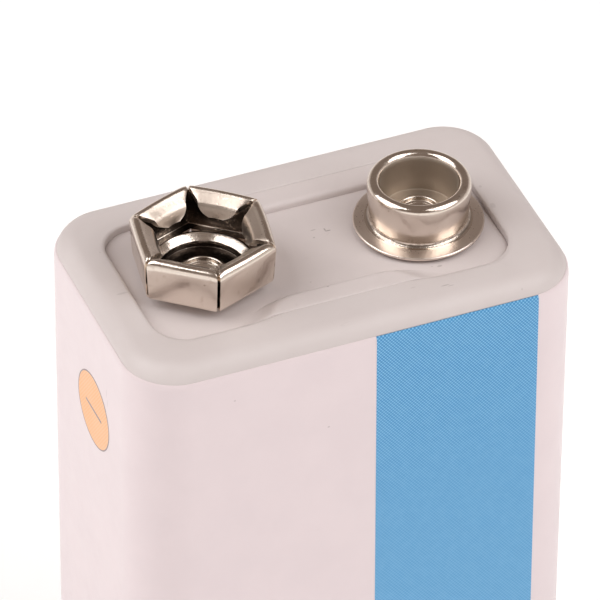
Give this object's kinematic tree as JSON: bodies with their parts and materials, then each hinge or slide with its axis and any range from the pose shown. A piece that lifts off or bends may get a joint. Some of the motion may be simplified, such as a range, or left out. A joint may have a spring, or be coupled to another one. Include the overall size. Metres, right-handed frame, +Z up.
{
  "type": "nine volt battery",
  "caption": "Rechargeable nine volt block battery: moulded case, printed film, and a hexagonal snap socket and a round snap stud on a sunk top plate.",
  "frame": {"origin": "middle of the base that the battery stands on", "axes": "+Z up through the terminals, +X along the long side towards the positive stud, -Y out of the face with the blue band"},
  "size_m": [0.026, 0.0156, 0.0481],
  "materials": {
    "case_plastic": "fine moulded satin, light warm grey",
    "plate_plastic": "fine moulded satin, light warm grey",
    "terminal_nickel": "bright nickel plate",
    "rivet_nickel": "bright nickel plate",
    "strap_nickel": "plain nickel strip",
    "board_laminate": "green solder mask",
    "chip_resin": "matt moulded resin",
    "resistor_body": "glazed",
    "capacitor_body": "bare ceramic",
    "pouch_foil": "laminated silver foil",
    "cell_tab": "plain strip",
    "tape": "thin acrylic tape",
    "sleeve_film": "amber film",
    "insulating_paper": "pressed insulating paper",
    "foam": "closed cell foam",
    "label_film": "satin printed film, warm white",
    "blue_print": "fine halftone print",
    "orange_print": "plain print",
    "grey_print": "plain print"
  },
  "bodies": {
    "root": {"case_shell": "case_plastic", "bottom_cover": "case_plastic", "terminal_plate": "plate_plastic", "negative_snap": "terminal_nickel", "positive_stud": "terminal_nickel", "negative_rivet": "rivet_nickel", "positive_rivet": "rivet_nickel", "negative_strap": "strap_nickel", "positive_strap": "strap_nickel", "series_link": "strap_nickel", "protection_board": "board_laminate", "protection_chip": "chip_resin", "switch_chip": "chip_resin", "filter_resistor": "resistor_body", "sense_resistor": "resistor_body", "filter_capacitor": "capacitor_body", "output_capacitor": "capacitor_body", "front_cell": "pouch_foil", "rear_cell": "pouch_foil", "front_cell_left_tab": "cell_tab", "front_cell_right_tab": "cell_tab", "rear_cell_left_tab": "cell_tab", "rear_cell_right_tab": "cell_tab", "cell_adhesive": "tape", "pack_sleeve": "sleeve_film", "cell_top_insulator": "insulating_paper", "spacer_foam": "foam", "base_foam": "foam", "label_wrap": "label_film", "label_blue_band": "blue_print", "label_polarity_disc": "orange_print", "label_polarity_sign": "grey_print"}
  },
  "joints": []
}
